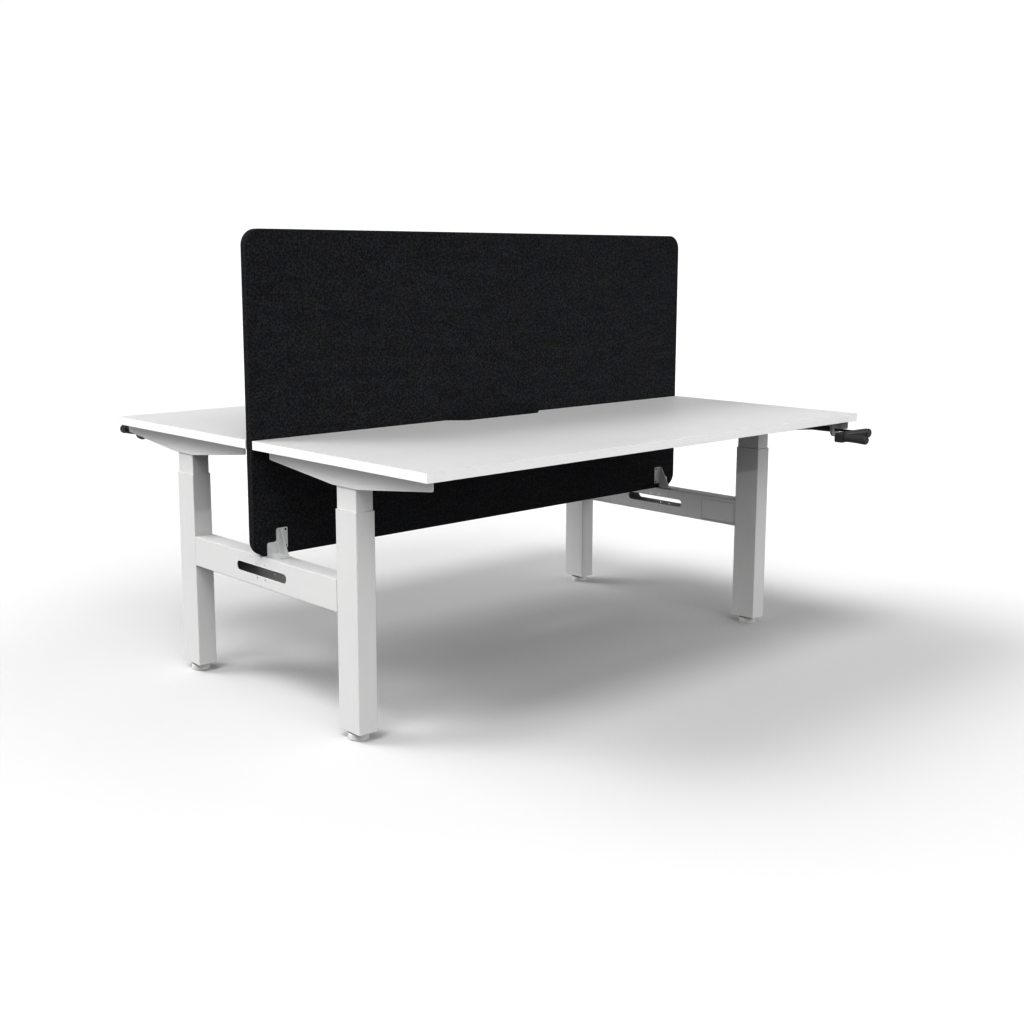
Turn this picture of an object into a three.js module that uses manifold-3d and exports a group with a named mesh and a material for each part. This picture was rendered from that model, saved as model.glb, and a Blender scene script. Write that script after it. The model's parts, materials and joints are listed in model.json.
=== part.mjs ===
// Back-to-back benching desk for two, each worktop raised and lowered by its own hand crank.
// Units: millimetres. +Z up, X along the length of the desk, the front user sits at -Y.
// Origin: on the floor, in the middle of the desk. The rear desk is the front desk turned half a turn about Z.

import * as THREE from 'three';
import { mergeVertices } from 'three/addons/utils/BufferGeometryUtils.js';
import Module from 'manifold-3d';

const wasm = await Module();
wasm.setup();

// ---------------------------------------------------------------- driving dimensions
const GAP = 0.3;                     // clearance kept between pieces that touch

// worktops
const TOP_LENGTH = 1800;
const TOP_DEPTH = 750;
const TOP_THICK = 25;
const TOP_HEIGHT = 755;              // upper face above the floor, as set in the picture
const TOP_INNER_Y = 16;              // half the gap between the two worktops
const SCALLOP_OUTER = 200;           // half width of the cable cut-out at the edge
const SCALLOP_INNER = 150;           // half width at its bottom
const SCALLOP_DEPTH = 44;

// legs
const LEG_X = 842;                   // leg centre from the middle, along the length
const LEG_Y = 405;                   // leg centre from the middle, across
const OUT_W = 60, OUT_D = 90, OUT_R = 3, OUT_WALL = 1.5;
const OUT_BOTTOM = 23, OUT_TOP = 612, OUT_FLOOR = 8;
const IN_W = 54, IN_D = 84, IN_R = 2.5, IN_WALL = 2;
const IN_BOTTOM = 92, IN_TOP = 672.7, IN_PLATE = 6;
const FOOT_R = 28.5, FOOT_H = 18, STEM_R = 5;
const STEM_TOP = 33;

// drive inside the legs
const AXIS_Z = 703;                  // height of the crank shaft and the cross shaft
const SPINDLE_R = 7, SPINDLE_BOTTOM = 94;
const POST_R = 13, POST_BORE = 8.2, POST_TOP = 492, NUT_R = 18, NUT_H = 42;
const GEAR_OUT = 16, GEAR_MID = 13, GEAR_IN = 6, PINION_R = 10;
const MESH_GAP = 0.6;
const BOX_W = 50, BOX_D = 64, BOX_TOP = 725.4, BOX_WALL = 3;
const SHAFT_R = 4.6;                 // corner radius of the six-sided cross shaft

// beams between the legs of one end
const BEAM_BOTTOM = 336, BEAM_TOP = 426, BEAM_WALL = 2;
const SLOT_HALF = 125, SLOT_H = 26;
const HOLE_Y = 20, HOLE_Z = 21, HOLE_R = 2.6;
const COVER_IN = 216, COVER_OUT = 357, COVER_BOTTOM = 342, COVER_TOP = 415, COVER_GAP = 0.5;

// screen and its brackets
const SCREEN_W = 1800, SCREEN_H = 900, SCREEN_T = 26, SCREEN_R = 45;
const SCREEN_BOTTOM = BEAM_TOP + 0.5;
const SHEET = 3;                     // bracket and arm sheet thickness

// support arms under the worktops
const ARM_W = 60, ARM_HALF = 347, ARM_FLAT = 55, ARM_DEEP = 673, ARM_END = 705, ARM_CORNER = 6;
const ARM_SHORT = 8;                 // the arm on the crank side stops this much sooner towards the screen

// rails under the worktops
const RAIL_W = 40, RAIL_H = 25, RAIL_WALL = 2, RAIL_OFFSET = 200;

// crank
const PLATE_Y = 722, PLATE_T = 8, PLATE_R = 22;
const CRANK_SHAFT_R = 4, TUBE_R = 8.5;   // shaft ends, and the tube between bearing plate and gearbox
const CRANK_IN = 775, HUB_IN = 820, HUB_END = 849, SHAFT_END = 838;
const BAR_R = 12.5, BAR_DX = 48, BAR_DZ = 9.3, BAR_ROOT_IN = 783, BAR_ROOT_OUT = 798, BAR_HUB_IN = 826, BAR_HUB_OUT = 846;
const TAIL_DX = 66, TAIL_DZ = 8;     // end of the arm's straight tail behind the grip root
const GRIP_DX = 68, GRIP_DZ = 13.5;  // grip axis from the crank axis
const ROOT_W = 28, ROOT_H = 29, ROOT_OUT = 803;
const GRIP_IN = 803.5, GRIP_END = 882;

// ---------------------------------------------------------------- solids
const V2 = (x, y) => new THREE.Vector2(x, y);

// closed solid from a geometry: shared vertices merged, faces turned outwards
function solid(geometry) {
  let g = geometry.clone();
  for (const name of Object.keys(g.attributes)) if (name !== 'position') g.deleteAttribute(name);
  g = mergeVertices(g, 1e-4);
  const p = g.attributes.position.array;
  const src = g.index.array;
  const tri = [];
  let vol = 0;
  for (let i = 0; i < src.length; i += 3) {
    const a = src[i], b = src[i + 1], c = src[i + 2];
    if (a === b || b === c || a === c) continue;
    tri.push(a, b, c);
    const A = a * 3, B = b * 3, C = c * 3;
    vol += p[A] * (p[B + 1] * p[C + 2] - p[B + 2] * p[C + 1])
         - p[A + 1] * (p[B] * p[C + 2] - p[B + 2] * p[C])
         + p[A + 2] * (p[B] * p[C + 1] - p[B + 1] * p[C]);
  }
  if (vol < 0) for (let i = 0; i < tri.length; i += 3) { const t = tri[i]; tri[i] = tri[i + 1]; tri[i + 1] = t; }
  return new wasm.Manifold(new wasm.Mesh({ numProp: 3, vertProperties: new Float32Array(p), triVerts: new Uint32Array(tri) }));
}

function geometry(m) {
  const mesh = m.getMesh();
  const g = new THREE.BufferGeometry();
  g.setAttribute('position', new THREE.BufferAttribute(new Float32Array(mesh.vertProperties), 3));
  g.setIndex(new THREE.BufferAttribute(new Uint32Array(mesh.triVerts), 1));
  g.computeVertexNormals();
  return g;
}

function box(x0, x1, y0, y1, z0, z1) {
  const g = new THREE.BoxGeometry(x1 - x0, y1 - y0, z1 - z0);
  g.translate((x0 + x1) / 2, (y0 + y1) / 2, (z0 + z1) / 2);
  return solid(g);
}

const shapeOf = (pts) => new THREE.Shape(pts.map(([a, b]) => V2(a, b)));

function prism(shape, depth, curveSegments = 6) {
  return new THREE.ExtrudeGeometry(shape, { depth, bevelEnabled: false, curveSegments });
}

// outline in X,Y raised from z0 to z1
function prismZ(shape, z0, z1, seg) {
  const g = prism(shape, z1 - z0, seg);
  g.translate(0, 0, z0);
  return solid(g);
}

// outline in Y,Z pulled from x0 to x1
function prismX(shape, x0, x1, seg) {
  const g = prism(shape, x1 - x0, seg);
  g.applyMatrix4(new THREE.Matrix4().set(0, 0, 1, x0, 1, 0, 0, 0, 0, 1, 0, 0, 0, 0, 0, 1));
  return solid(g);
}

// outline in Z,X pulled from y0 to y1
function prismY(shape, y0, y1, seg) {
  const g = prism(shape, y1 - y0, seg);
  g.applyMatrix4(new THREE.Matrix4().set(0, 1, 0, 0, 0, 0, 1, y0, 1, 0, 0, 0, 0, 0, 0, 1));
  return solid(g);
}

function roundRect(a, b, w, h, r) {
  const s = new THREE.Shape();
  const x0 = a - w / 2, x1 = a + w / 2, y0 = b - h / 2, y1 = b + h / 2;
  s.moveTo(x0 + r, y0);
  s.lineTo(x1 - r, y0);
  s.absarc(x1 - r, y0 + r, r, -Math.PI / 2, 0, false);
  s.lineTo(x1, y1 - r);
  s.absarc(x1 - r, y1 - r, r, 0, Math.PI / 2, false);
  s.lineTo(x0 + r, y1);
  s.absarc(x0 + r, y1 - r, r, Math.PI / 2, Math.PI, false);
  s.lineTo(x0, y0 + r);
  s.absarc(x0 + r, y0 + r, r, Math.PI, 1.5 * Math.PI, false);
  return s;
}

function disc(a, b, r) {
  const s = new THREE.Shape();
  s.absarc(a, b, r, 0, 2 * Math.PI, false);
  return s;
}

// round solids: profile is [radius, height along the axis]
function lathe(profile, seg) {
  return new THREE.LatheGeometry(profile.map(([r, h]) => V2(r, h)), seg);
}
function latheZ(profile, x, y, seg = 20) {
  const g = lathe(profile, seg);
  g.rotateX(Math.PI / 2);
  g.translate(x, y, 0);
  return solid(g);
}
function latheY(profile, x, z, seg = 20) {
  const g = lathe(profile, seg);
  g.translate(x, 0, z);
  return solid(g);
}
function latheX(profile, y, z, seg = 20) {
  const g = lathe(profile, seg);
  g.rotateZ(-Math.PI / 2);
  g.translate(0, y, z);
  return solid(g);
}

// ---------------------------------------------------------------- finishes
const finish = (color, roughness, metalness) => new THREE.MeshStandardMaterial({ color, roughness, metalness });
const WHITE_PAINT = () => finish(0xf2f2f0, 0.12, 0.0);
const WHITE_TOP = () => finish(0xf4f4f2, 0.4, 0.0);
const FELT = () => finish(0x1b1c20, 0.95, 0.0);
const BRACKET = () => finish(0xd2d3d4, 0.4, 0.0);
const BLACK = () => finish(0x1c1c1d, 0.5, 0.0);
const NYLON = () => finish(0xe9e9e6, 0.5, 0.0);
const STEEL = () => finish(0x9a9c9f, 0.35, 0.9);
const CAST = () => finish(0x55585c, 0.5, 0.6);
const GREY = () => finish(0xa8a9aa, 0.5, 0.2);

const model = new THREE.Group();
function put(group, name, m, material) {
  const mesh = new THREE.Mesh(geometry(m), material);
  mesh.name = name;
  group.add(mesh);
}

// ---------------------------------------------------------------- fixed legs, made about their own centre line
function outerColumn() {
  const outer = prismZ(roundRect(0, 0, OUT_W, OUT_D, OUT_R), OUT_BOTTOM, OUT_TOP, 3);
  const inner = prismZ(roundRect(0, 0, OUT_W - 2 * OUT_WALL, OUT_D - 2 * OUT_WALL, OUT_R - OUT_WALL), OUT_BOTTOM + OUT_FLOOR, OUT_TOP + 5, 3);
  const hole = prismZ(disc(0, 0, STEM_R + 0.5), OUT_BOTTOM - 2, OUT_BOTTOM + OUT_FLOOR + 2, 4);
  return outer.subtract(inner).subtract(hole);
}

function guideBush() {
  const w = OUT_W - 2 * OUT_WALL, d = OUT_D - 2 * OUT_WALL;
  const sleeve = prismZ(roundRect(0, 0, w - 2 * GAP, d - 2 * GAP, 1.4), OUT_TOP - 40, OUT_TOP + 1, 2);
  const lip = prismZ(roundRect(0, 0, OUT_W - 0.8, OUT_D - 0.8, 2.6), OUT_TOP + GAP, OUT_TOP + GAP + 1.6, 3);
  const bore = prismZ(roundRect(0, 0, IN_W + 2 * GAP, IN_D + 2 * GAP, IN_R), OUT_TOP - 50, OUT_TOP + 10, 3);
  return sleeve.add(lip).subtract(bore);
}

function nutPost() {
  const z0 = OUT_BOTTOM + OUT_FLOOR + GAP;
  return latheZ([
    [POST_BORE, z0], [POST_R + 6, z0], [POST_R + 6, z0 + 5], [POST_R, z0 + 5],
    [POST_R, POST_TOP - NUT_H], [NUT_R, POST_TOP - NUT_H], [NUT_R, POST_TOP], [POST_BORE, POST_TOP], [POST_BORE, z0],
  ], 0, 0, 18);
}

function glideFoot() {
  return latheZ([
    [0, 0], [FOOT_R - 1.5, 0], [FOOT_R, 1.5], [FOOT_R, FOOT_H - 3], [FOOT_R - 3, FOOT_H],
    [9, FOOT_H], [9, OUT_BOTTOM - 0.5], [STEM_R, OUT_BOTTOM - 0.5], [STEM_R, STEM_TOP], [0, STEM_TOP],
  ], 0, 0, 24);
}

const LEGS = [
  ['front_left', -1, -1], ['front_right', 1, -1], ['rear_left', -1, 1], ['rear_right', 1, 1],
];
for (const [name, sx, sy] of LEGS) {
  const leg = new THREE.Group();
  leg.position.set(sx * LEG_X, sy * LEG_Y, 0);
  put(leg, `${name}_outer_column`, outerColumn(), WHITE_PAINT());
  put(leg, `${name}_guide_bush`, guideBush(), NYLON());
  put(leg, `${name}_nut_post`, nutPost(), CAST());
  put(leg, `${name}_glide_foot`, glideFoot(), NYLON());
  model.add(leg);
}

// ---------------------------------------------------------------- end beams with cable slot, and their access covers
const BEAM_END = LEG_Y - OUT_D / 2 - GAP;
const BEAM_MID = (BEAM_BOTTOM + BEAM_TOP) / 2;

function beam(side) {
  const outline = roundRect(0, BEAM_MID, OUT_W, BEAM_TOP - BEAM_BOTTOM, 2.5);
  // outline is given as X,Z here: pulled along Y it needs Z,X
  const turned = new THREE.Shape(outline.getPoints(3).map((p) => V2(p.y, p.x)).reverse());
  const hollowPts = roundRect(0, BEAM_MID, OUT_W - 2 * BEAM_WALL, BEAM_TOP - BEAM_BOTTOM - 2 * BEAM_WALL, 0.8).getPoints(1)
    .map((p) => V2(p.y, p.x)).reverse();
  let m = prismY(turned, -BEAM_END, BEAM_END, 3).subtract(prismY(new THREE.Shape(hollowPts), -BEAM_END - 5, BEAM_END + 5, 1));
  m = m.subtract(prismX(roundRect(0, BEAM_MID, 2 * SLOT_HALF, SLOT_H, SLOT_H / 2 - 0.01), -OUT_W, OUT_W, 8));
  for (const y of [-HOLE_Y, HOLE_Y]) {
    for (const z of [BEAM_MID - HOLE_Z, BEAM_MID + HOLE_Z]) m = m.subtract(prismX(disc(y, z, HOLE_R), -OUT_W, OUT_W, 4));
  }
  // windows in the inner wall, closed by the covers
  for (const s of [-1, 1]) {
    const y0 = s > 0 ? COVER_IN : -COVER_OUT, y1 = s > 0 ? COVER_OUT : -COVER_IN;
    const x0 = side > 0 ? -OUT_W / 2 - 2 : OUT_W / 2 - BEAM_WALL - 1;
    const x1 = side > 0 ? -OUT_W / 2 + BEAM_WALL + 1 : OUT_W / 2 + 2;
    m = m.subtract(box(x0, x1, y0, y1, COVER_BOTTOM, COVER_TOP));
  }
  return m;
}

function cover(side, s) {
  const y0 = (s > 0 ? COVER_IN : -COVER_OUT) + COVER_GAP, y1 = (s > 0 ? COVER_OUT : -COVER_IN) - COVER_GAP;
  const face = side > 0 ? -OUT_W / 2 : OUT_W / 2;       // outer skin of the cover, flush with the beam
  const inward = side > 0 ? 1 : -1;
  const span = (a, b) => (a < b ? [a, b] : [b, a]);
  const [fx0, fx1] = span(face, face + inward * BEAM_WALL);
  let m = box(fx0, fx1, y0, y1, COVER_BOTTOM + COVER_GAP, COVER_TOP - COVER_GAP);
  // two spring ribs behind the skin
  const [rx0, rx1] = span(face + inward * (BEAM_WALL - 0.5), face + inward * (BEAM_WALL + 9));
  for (const z of [COVER_BOTTOM + 8, COVER_TOP - 10]) m = m.add(box(rx0, rx1, y0 + 12, y1 - 12, z, z + 2));
  return m;
}

for (const [name, side] of [['left', -1], ['right', 1]]) {
  const end = new THREE.Group();
  end.position.set(side * LEG_X, 0, 0);
  put(end, `${name}_end_beam`, beam(side), WHITE_PAINT());
  put(end, `${name}_beam_cover_front`, cover(side, -1), WHITE_PAINT());
  put(end, `${name}_beam_cover_rear`, cover(side, 1), WHITE_PAINT());
  model.add(end);
}

// ---------------------------------------------------------------- shared screen and the four brackets that hold it
{
  const outline = roundRect(0, SCREEN_BOTTOM + SCREEN_H / 2, SCREEN_W, SCREEN_H, SCREEN_R).getPoints(6)
    .map((p) => V2(p.y, p.x)).reverse();
  put(model, 'felt_screen', prismY(new THREE.Shape(outline), -SCREEN_T / 2, SCREEN_T / 2, 6), FELT());
}

// outline with each corner rounded: points are [a, b, radius]
function filleted(pts, n = 4) {
  const out = [];
  pts.forEach(([a, b, r], i) => {
    const [pa, pb] = pts[(i + pts.length - 1) % pts.length];
    const [na, nb] = pts[(i + 1) % pts.length];
    if (!r) { out.push([a, b]); return; }
    const u = V2(pa - a, pb - b).normalize(), w = V2(na - a, nb - b).normalize();
    const half = Math.acos(Math.min(1, Math.max(-1, u.dot(w)))) / 2;
    const cut = r / Math.tan(half);
    const c = u.clone().add(w).normalize().multiplyScalar(r / Math.sin(half)).add(V2(a, b));
    const s0 = V2(a, b).addScaledVector(u, cut).sub(c), s1 = V2(a, b).addScaledVector(w, cut).sub(c);
    const a0 = Math.atan2(s0.y, s0.x);
    let d = Math.atan2(s1.y, s1.x) - a0;
    if (d > Math.PI) d -= 2 * Math.PI;
    if (d < -Math.PI) d += 2 * Math.PI;
    for (let k = 0; k <= n; k++) out.push([c.x + r * Math.cos(a0 + (d * k) / n), c.y + r * Math.sin(a0 + (d * k) / n)]);
  });
  return out;
}

// bracket of the front left corner: stepped upright against the screen, foot on the beam, gusset between them
function screenBracket() {
  const y1 = -SCREEN_T / 2 - GAP, y0 = y1 - SHEET;
  const z0 = BEAM_TOP + GAP;
  // given as Z,X
  let m = prismY(shapeOf(filleted([
    [z0, -859, 0], [z0, -818, 0], [443, -818, 0], [443, -791, 3], [502, -791, 3], [502, -828, 7], [464, -828, 6], [464, -859, 7],
  ])), y0, y1, 1);
  // foot, given as X,Y
  m = m.add(prismZ(shapeOf(filleted([
    [-857, y1 - 1, 0], [-857, -72, 5], [-818, -72, 3], [-818, y1 - 1, 0],
  ])), z0, z0 + SHEET, 1));
  // gusset, given as Y,Z
  m = m.add(prismX(shapeOf(filleted([
    [y1 - 1, z0, 0], [y1 - 1, 500.5, 0], [-24, 500.5, 3], [-61.5, z0 + 6, 4], [-61.5, z0, 0],
  ])), -818 - SHEET, -818, 1));
  for (const z of [496, 449.5]) m = m.subtract(prismY(disc(z, -798, 2.4), y0 - 2, y1 + 2, 5));
  m = m.subtract(prismZ(disc(-839, -40, 3.4), z0 - 2, z0 + 6, 5));
  return m;
}

{
  const b = screenBracket();
  const mirrored = b.mirror([1, 0, 0]);
  const front = new THREE.Group(), rear = new THREE.Group();
  rear.rotation.z = Math.PI;
  put(front, 'front_left_screen_bracket', b, BRACKET());
  put(front, 'front_right_screen_bracket', mirrored, BRACKET());
  put(rear, 'rear_right_screen_bracket', b, BRACKET());
  put(rear, 'rear_left_screen_bracket', mirrored, BRACKET());
  model.add(front, rear);
}

// ---------------------------------------------------------------- one lifting desk, drawn as the front one
const TOP_UNDER = TOP_HEIGHT - TOP_THICK;
const ARM_TOP = TOP_UNDER - GAP;

function worktop() {
  const y0 = -(TOP_INNER_Y + TOP_DEPTH), y1 = -TOP_INNER_Y, x = TOP_LENGTH / 2;
  return prismZ(shapeOf([
    [-x, y0], [x, y0], [x, y1], [SCALLOP_OUTER, y1], [SCALLOP_INNER, y1 - SCALLOP_DEPTH],
    [-SCALLOP_INNER, y1 - SCALLOP_DEPTH], [-SCALLOP_OUTER, y1], [-x, y1],
  ]), TOP_UNDER, TOP_HEIGHT, 1);
}

// folded arm: a tapered web on the outer side and a flange under the worktop; inner is the side the flange points to
function supportArm(cx, inner, short) {
  const c = -LEG_Y, wx = cx - inner * ARM_W / 2, end = c + ARM_HALF - short;
  const m = prismX(shapeOf(filleted([
    [c - ARM_HALF, ARM_END, ARM_CORNER], [c - ARM_FLAT, ARM_DEEP, 0], [c + ARM_FLAT, ARM_DEEP, 0], [end, ARM_END, ARM_CORNER],
    [end, ARM_TOP, 0], [c - ARM_HALF, ARM_TOP, 0],
  ])), Math.min(wx, wx + inner * SHEET), Math.max(wx, wx + inner * SHEET), 1);
  const fx = cx + inner * ARM_W / 2;
  return m.add(box(Math.min(wx, fx), Math.max(wx, fx), c - ARM_HALF, end, ARM_TOP - SHEET, ARM_TOP));
}

function innerColumn(cx) {
  let m = prismZ(roundRect(cx, -LEG_Y, IN_W, IN_D, IN_R), IN_BOTTOM, IN_TOP, 3);
  m = m.subtract(prismZ(roundRect(cx, -LEG_Y, IN_W - 2 * IN_WALL, IN_D - 2 * IN_WALL, 0.8), IN_BOTTOM - 5, IN_TOP - IN_PLATE, 1));
  return m.subtract(prismZ(disc(cx, -LEG_Y, SPINDLE_R + 1.5), IN_TOP - 10, IN_TOP + 5, 4));
}

// bevel housing on the head of a leg, open at the bottom over the spindle
function gearbox(cx, inner, withCrank) {
  const c = -LEG_Y, z0 = IN_TOP + GAP;
  let m = box(cx - BOX_W / 2, cx + BOX_W / 2, c - BOX_D / 2, c + BOX_D / 2, z0, BOX_TOP);
  m = m.subtract(box(cx - BOX_W / 2 + BOX_WALL, cx + BOX_W / 2 - BOX_WALL, c - BOX_D / 2 + 6, c + BOX_D / 2 - 6, z0 - 5, BOX_TOP - BOX_WALL));
  const wx = cx + inner * BOX_W / 2;
  m = m.subtract(prismX(disc(c, AXIS_Z, SHAFT_R + 0.8), wx - 8, wx + 8, 4));
  if (withCrank) m = m.subtract(prismY(disc(AXIS_Z, cx, CRANK_SHAFT_R + 0.8), c - BOX_D / 2 - 4, c - BOX_D / 2 + 10, 4));
  return m;
}

function spindle(cx) {
  const a = AXIS_Z - MESH_GAP;
  return latheZ([
    [0, SPINDLE_BOTTOM], [SPINDLE_R - 1.5, SPINDLE_BOTTOM], [SPINDLE_R, SPINDLE_BOTTOM + 2], [SPINDLE_R, IN_TOP + 0.6],
    [12, IN_TOP + 0.6], [12, IN_TOP + 8], [GEAR_OUT, IN_TOP + 9], [GEAR_OUT, a - GEAR_OUT], [GEAR_IN, a - GEAR_IN], [0, a - GEAR_IN],
  ], cx, -LEG_Y, 18);
}

// six-sided shaft from leg to leg, with a bevel wheel at each end
function crossShaft() {
  const pr = LEG_X - GEAR_MID - MESH_GAP, pr0 = LEG_X - GEAR_OUT - MESH_GAP;
  const pl = -LEG_X - GEAR_MID - MESH_GAP, pl0 = -LEG_X - GEAR_OUT - MESH_GAP;
  let m = latheX([[0, pl0 - 3], [SHAFT_R, pl0 - 3], [SHAFT_R, pr], [0, pr]], -LEG_Y, AXIS_Z, 6);
  m = m.add(latheX([[0, pl0 - 4], [GEAR_OUT, pl0 - 4], [GEAR_OUT, pl0], [GEAR_MID, pl], [0, pl]], -LEG_Y, AXIS_Z, 18));
  m = m.add(latheX([[0, pr0 - 4], [GEAR_OUT, pr0 - 4], [GEAR_OUT, pr0], [GEAR_MID, pr], [0, pr]], -LEG_Y, AXIS_Z, 18));
  return m;
}

function crankShaft() {
  const c = -LEG_Y, out = -PLATE_Y + PLATE_T / 2 + 1, back = c - BOX_D / 2 - 3;
  return latheY([
    [0, -SHAFT_END], [CRANK_SHAFT_R, -SHAFT_END], [CRANK_SHAFT_R, out], [TUBE_R, out], [TUBE_R, back], [CRANK_SHAFT_R, back],
    [CRANK_SHAFT_R, c - PINION_R - MESH_GAP - 5], [PINION_R, c - PINION_R - MESH_GAP - 5],
    [PINION_R, c - PINION_R - MESH_GAP], [GEAR_IN, c - GEAR_IN - MESH_GAP], [0, c - GEAR_IN - MESH_GAP],
  ], LEG_X, AXIS_Z, 18);
}

function bearingPlate() {
  const s = new THREE.Shape();           // given as Z,X
  const top = ARM_TOP - SHEET - GAP;
  s.moveTo(top, LEG_X - PLATE_R);
  s.lineTo(top, LEG_X + PLATE_R);
  s.lineTo(AXIS_Z, LEG_X + PLATE_R);
  s.absarc(AXIS_Z, LEG_X, PLATE_R, Math.PI / 2, 1.5 * Math.PI, false);
  let m = prismY(s, -PLATE_Y - PLATE_T / 2, -PLATE_Y + PLATE_T / 2, 12);
  m = m.add(box(LEG_X - PLATE_R, LEG_X + PLATE_R, -PLATE_Y - PLATE_T / 2, -PLATE_Y + 30, top - 4, top));
  return m.subtract(prismY(disc(AXIS_Z, LEG_X, CRANK_SHAFT_R + 0.5), -PLATE_Y - 10, -PLATE_Y + 10, 5));
}

// moulded crank: hub on the shaft end, arm slanting back to the block at the grip, and a pin for the grip
function crank() {
  const gx = LEG_X - GRIP_DX, gz = AXIS_Z - GRIP_DZ;
  let m = wasm.Manifold.hull([
    prismY(disc(AXIS_Z, LEG_X, BAR_R), -BAR_HUB_OUT, -BAR_HUB_IN, 8),
    prismY(disc(AXIS_Z - BAR_DZ, LEG_X - BAR_DX, BAR_R), -BAR_ROOT_OUT, -BAR_ROOT_IN, 8),
  ]);
  m = m.add(wasm.Manifold.hull([
    prismY(disc(AXIS_Z - BAR_DZ, LEG_X - BAR_DX, BAR_R), -BAR_ROOT_OUT, -BAR_ROOT_IN, 8),
    prismY(disc(AXIS_Z - TAIL_DZ, LEG_X - TAIL_DX, BAR_R), -BAR_ROOT_OUT, -BAR_ROOT_IN, 8),
  ]));
  m = m.add(prismY(roundRect(gz, gx, ROOT_H, ROOT_W, 6), -ROOT_OUT, -CRANK_IN, 3));
  m = m.add(latheY([
    [0, -HUB_END], [11.5, -HUB_END], [13.4, -HUB_END + 2], [14, -HUB_END + 7], [13.4, -HUB_END + 16], [12, -HUB_END + 25], [10.6, -HUB_IN], [0, -HUB_IN],
  ], LEG_X, AXIS_Z, 20));
  m = m.add(latheY([[0, -GRIP_END + 12], [4.6, -GRIP_END + 12], [5, -GRIP_END + 14], [5, -CRANK_IN - 10], [0, -CRANK_IN - 10]], gx, gz, 14));
  return m.subtract(latheY([[0, -SHAFT_END - GAP], [CRANK_SHAFT_R + GAP, -SHAFT_END - GAP], [CRANK_SHAFT_R + GAP, -CRANK_IN + 5], [0, -CRANK_IN + 5]], LEG_X, AXIS_Z, 18));
}

function grip() {
  return latheY([
    [0, -GRIP_END], [10.5, -GRIP_END], [12.8, -GRIP_END + 2], [13.6, -GRIP_END + 8], [12.6, -GRIP_END + 26], [11.5, -GRIP_END + 48],
    [11.2, -GRIP_END + 62], [11.6, -GRIP_IN - 1], [11, -GRIP_IN], [5.5, -GRIP_IN], [5.5, -GRIP_END + 11], [0, -GRIP_END + 11],
  ], LEG_X - GRIP_DX, AXIS_Z - GRIP_DZ, 20);
}

function rail(offset) {
  const y = -LEG_Y + offset, x = LEG_X - ARM_W / 2 - GAP;
  const z1 = ARM_TOP, z0 = z1 - RAIL_H;
  return box(-x, x, y - RAIL_W / 2, y + RAIL_W / 2, z0, z1)
    .subtract(box(-x - 5, x + 5, y - RAIL_W / 2 + RAIL_WALL, y + RAIL_W / 2 - RAIL_WALL, z0 + RAIL_WALL, z1 - RAIL_WALL));
}

// The crank stands at the right hand of the person sitting at the desk.
function desk(desk_name, left, right) {
  const g = new THREE.Group();
  put(g, `${desk_name}_worktop`, worktop(), WHITE_TOP());
  put(g, `${desk_name}_${left}_support_arm`, supportArm(-LEG_X, 1, 0), WHITE_PAINT());
  put(g, `${desk_name}_${right}_support_arm`, supportArm(LEG_X, -1, ARM_SHORT), WHITE_PAINT());
  put(g, `${desk_name}_outer_rail`, rail(-RAIL_OFFSET), WHITE_PAINT());
  put(g, `${desk_name}_inner_rail`, rail(RAIL_OFFSET), WHITE_PAINT());
  put(g, `${desk_name}_${left}_inner_column`, innerColumn(-LEG_X), WHITE_PAINT());
  put(g, `${desk_name}_${right}_inner_column`, innerColumn(LEG_X), WHITE_PAINT());
  put(g, `${desk_name}_${left}_gearbox`, gearbox(-LEG_X, 1, false), CAST());
  put(g, `${desk_name}_${right}_gearbox`, gearbox(LEG_X, -1, true), CAST());
  put(g, `${desk_name}_${left}_spindle`, spindle(-LEG_X), STEEL());
  put(g, `${desk_name}_${right}_spindle`, spindle(LEG_X), STEEL());
  put(g, `${desk_name}_cross_shaft`, crossShaft(), STEEL());
  put(g, `${desk_name}_crank_bearing_plate`, bearingPlate(), GREY());
  put(g, `${desk_name}_crank_shaft`, crankShaft(), STEEL());
  put(g, `${desk_name}_crank`, crank(), BLACK());
  put(g, `${desk_name}_crank_grip`, grip(), BLACK());
  return g;
}

const frontDesk = desk('front', 'left', 'right');
const rearDesk = desk('rear', 'right', 'left');
rearDesk.rotation.z = Math.PI;
model.add(frontDesk, rearDesk);

export default model;
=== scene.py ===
import json
import math

import bmesh
import bpy
from mathutils import Matrix, Vector


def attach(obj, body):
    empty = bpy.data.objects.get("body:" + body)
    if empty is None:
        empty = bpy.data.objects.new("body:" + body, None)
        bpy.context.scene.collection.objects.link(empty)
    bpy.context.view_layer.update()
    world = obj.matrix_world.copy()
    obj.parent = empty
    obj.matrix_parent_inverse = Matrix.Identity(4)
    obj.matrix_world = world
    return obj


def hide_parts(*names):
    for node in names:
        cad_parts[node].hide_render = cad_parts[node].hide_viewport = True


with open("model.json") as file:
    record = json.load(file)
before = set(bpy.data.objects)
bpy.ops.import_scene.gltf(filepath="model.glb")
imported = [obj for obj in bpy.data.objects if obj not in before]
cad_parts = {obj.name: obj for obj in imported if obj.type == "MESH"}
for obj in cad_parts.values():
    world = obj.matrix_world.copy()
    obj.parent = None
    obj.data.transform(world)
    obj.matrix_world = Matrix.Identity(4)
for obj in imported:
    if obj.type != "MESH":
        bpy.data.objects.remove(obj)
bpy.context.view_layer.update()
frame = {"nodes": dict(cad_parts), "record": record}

MM = 0.001
NODES = frame["nodes"]
TURN = Matrix.Rotation(math.pi, 4, "Z")          # the rear desk is the front desk turned half round
SAME = Matrix.Identity(4)


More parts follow.
